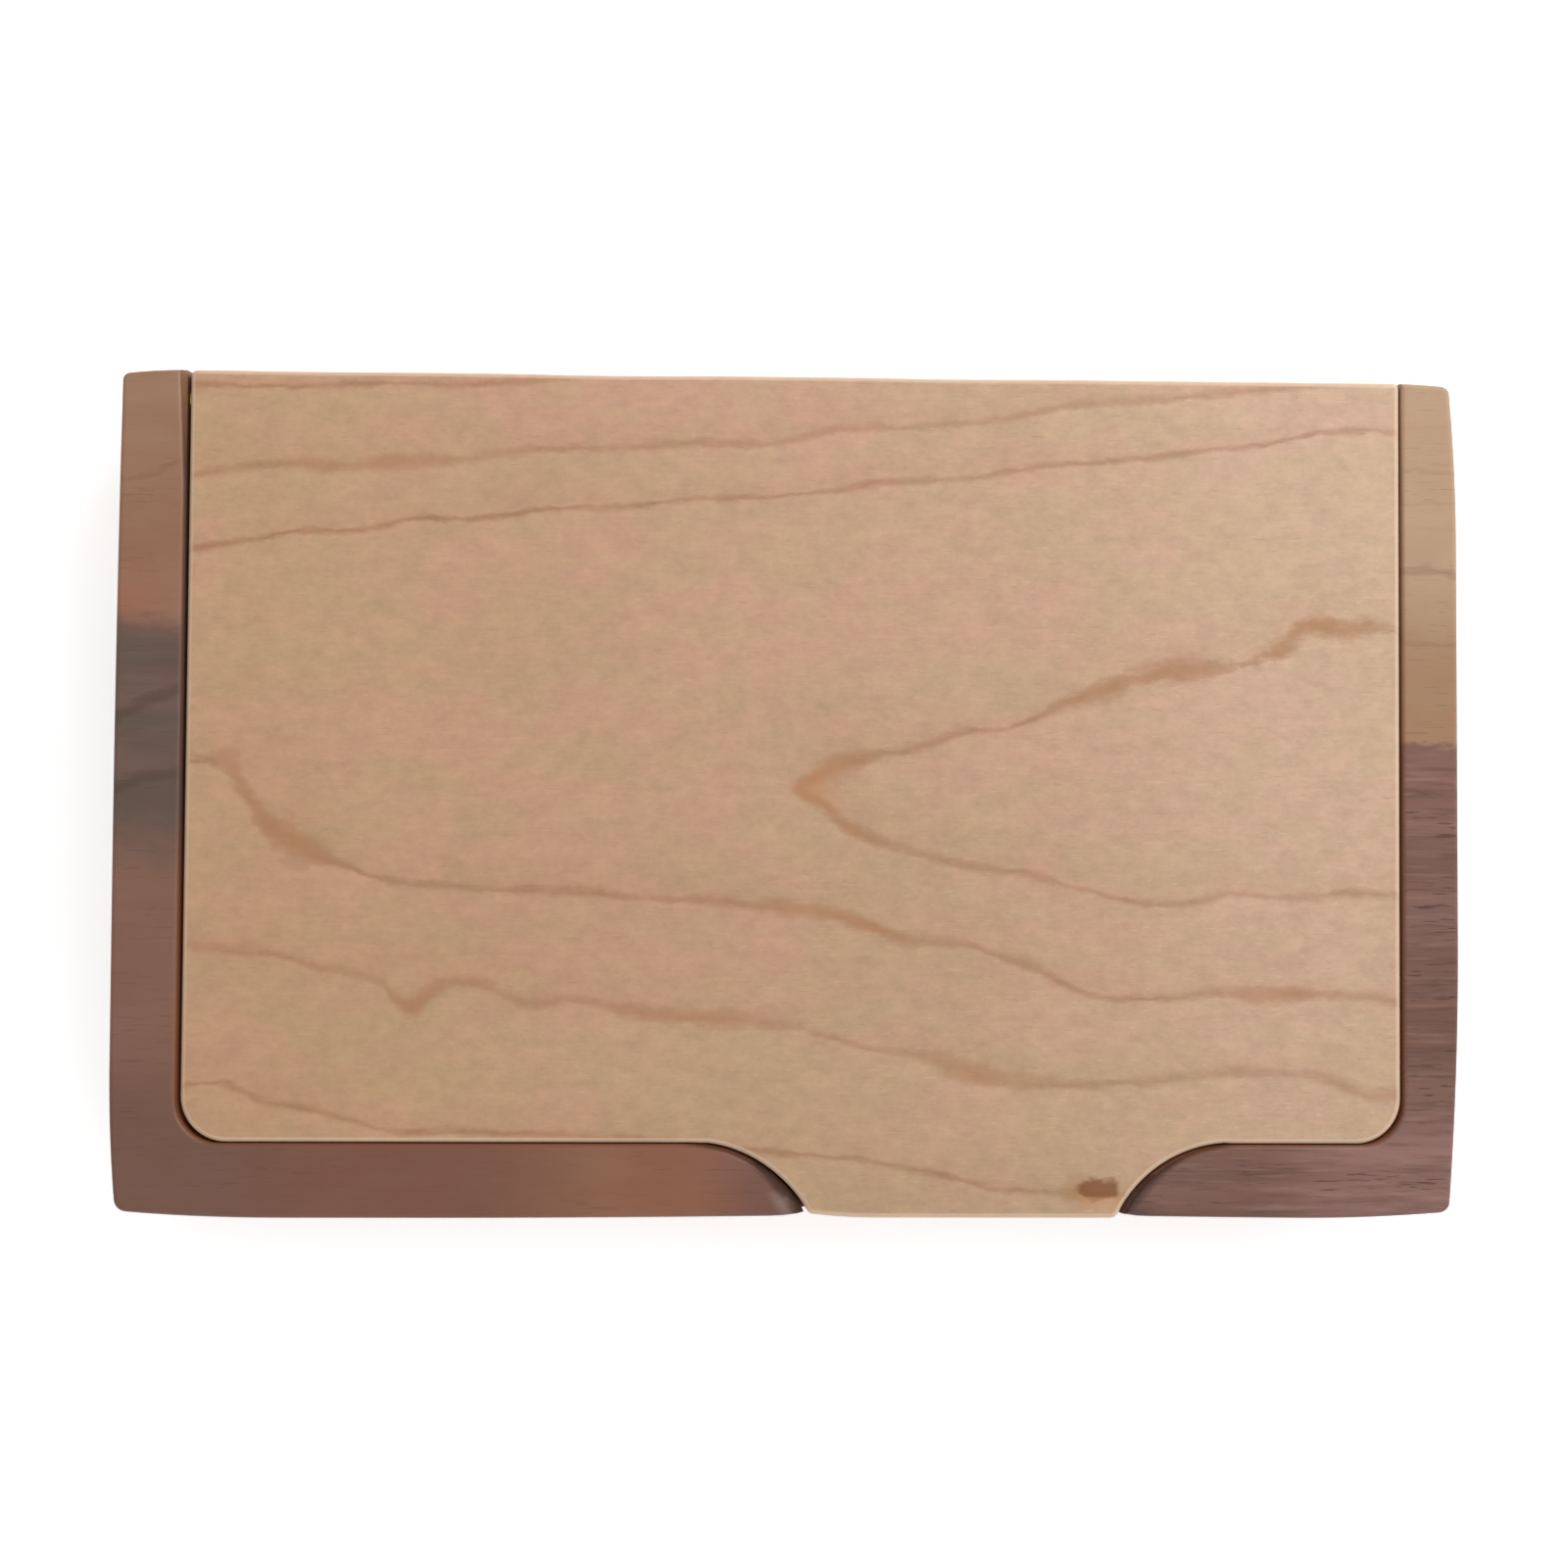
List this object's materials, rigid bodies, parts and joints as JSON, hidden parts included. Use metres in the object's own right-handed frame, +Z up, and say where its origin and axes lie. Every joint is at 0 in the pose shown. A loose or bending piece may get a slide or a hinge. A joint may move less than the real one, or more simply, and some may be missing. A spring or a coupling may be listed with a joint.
{
  "type": "business card case",
  "caption": "Pocket business card case: walnut body milled from one block, and an inset maple lid on hidden hinge pins, its offset tongue held shut by magnets over a thumb hollow.",
  "frame": {"origin": "centre of the case's footprint, on the flat underside that it lies on", "axes": "+X along the case's length, with the tongue right of the middle; +Y from the front face to the hinge side; +Z up through the lid"},
  "size_m": [0.103, 0.0644, 0.015],
  "materials": {
    "walnut": "thin satin oil on walnut, pores open",
    "maple": "thin satin oil on figured maple",
    "brass_pin": "drawn brass rod, chamfered ends",
    "nickel_plate": "bright nickel plate on sintered magnets"
  },
  "bodies": {
    "case": {"case_body": "walnut", "hinge_pin_left": "brass_pin", "hinge_pin_right": "brass_pin", "body_magnet_left": "nickel_plate", "body_magnet_right": "nickel_plate"},
    "lid": {"lid": "maple", "lid_magnet_left": "nickel_plate", "lid_magnet_right": "nickel_plate"}
  },
  "joints": [
    {"name": "lid_hinge", "type": "hinge", "parent": "case", "child": "lid", "pos_m": [0, 0.03025, 0.013], "axis": [-1, 0, 0], "range_deg": [0, 105]}
  ]
}
